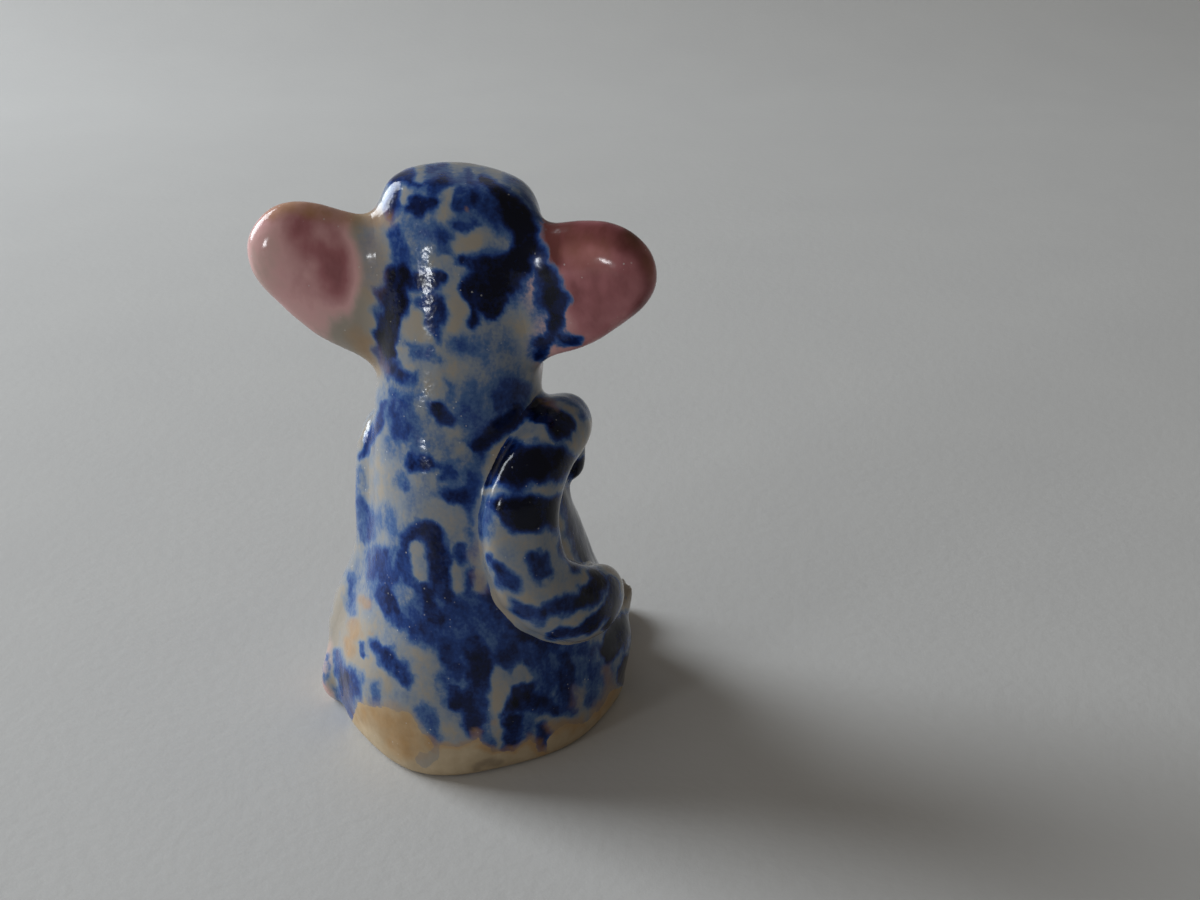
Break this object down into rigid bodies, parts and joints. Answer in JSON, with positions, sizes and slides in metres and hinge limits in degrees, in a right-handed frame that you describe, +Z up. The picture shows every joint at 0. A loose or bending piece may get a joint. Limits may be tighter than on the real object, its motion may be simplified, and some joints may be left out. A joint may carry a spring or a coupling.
{
  "type": "monkey figurine",
  "caption": "Seated monkey figurine in glazed ceramic with a flat foot, big cupped ears, a bent arm resting on a knee and mottled blue brushwork. It stands free as an ornament.",
  "frame": {"origin": "on the flat underside, near the middle of the foot and below the middle of the neck", "axes": "+Z up, -Y the way the monkey faces, -X towards the monkey's right"},
  "size_m": [0.0508, 0.0474, 0.0742],
  "materials": {
    "blue_glaze": "gloss",
    "pink_glaze": "gloss",
    "dark_glaze": "gloss"
  },
  "bodies": {
    "root": {"body": "blue_glaze", "head": "blue_glaze", "face": "pink_glaze", "muzzle": "pink_glaze", "left_eye": "dark_glaze", "right_eye": "dark_glaze", "left_ear": "pink_glaze", "right_ear": "pink_glaze", "left_arm": "blue_glaze", "right_arm": "blue_glaze", "left_hand": "pink_glaze", "right_hand": "pink_glaze", "left_leg": "blue_glaze", "right_leg": "blue_glaze", "left_foot": "pink_glaze", "right_foot": "pink_glaze"}
  },
  "joints": []
}
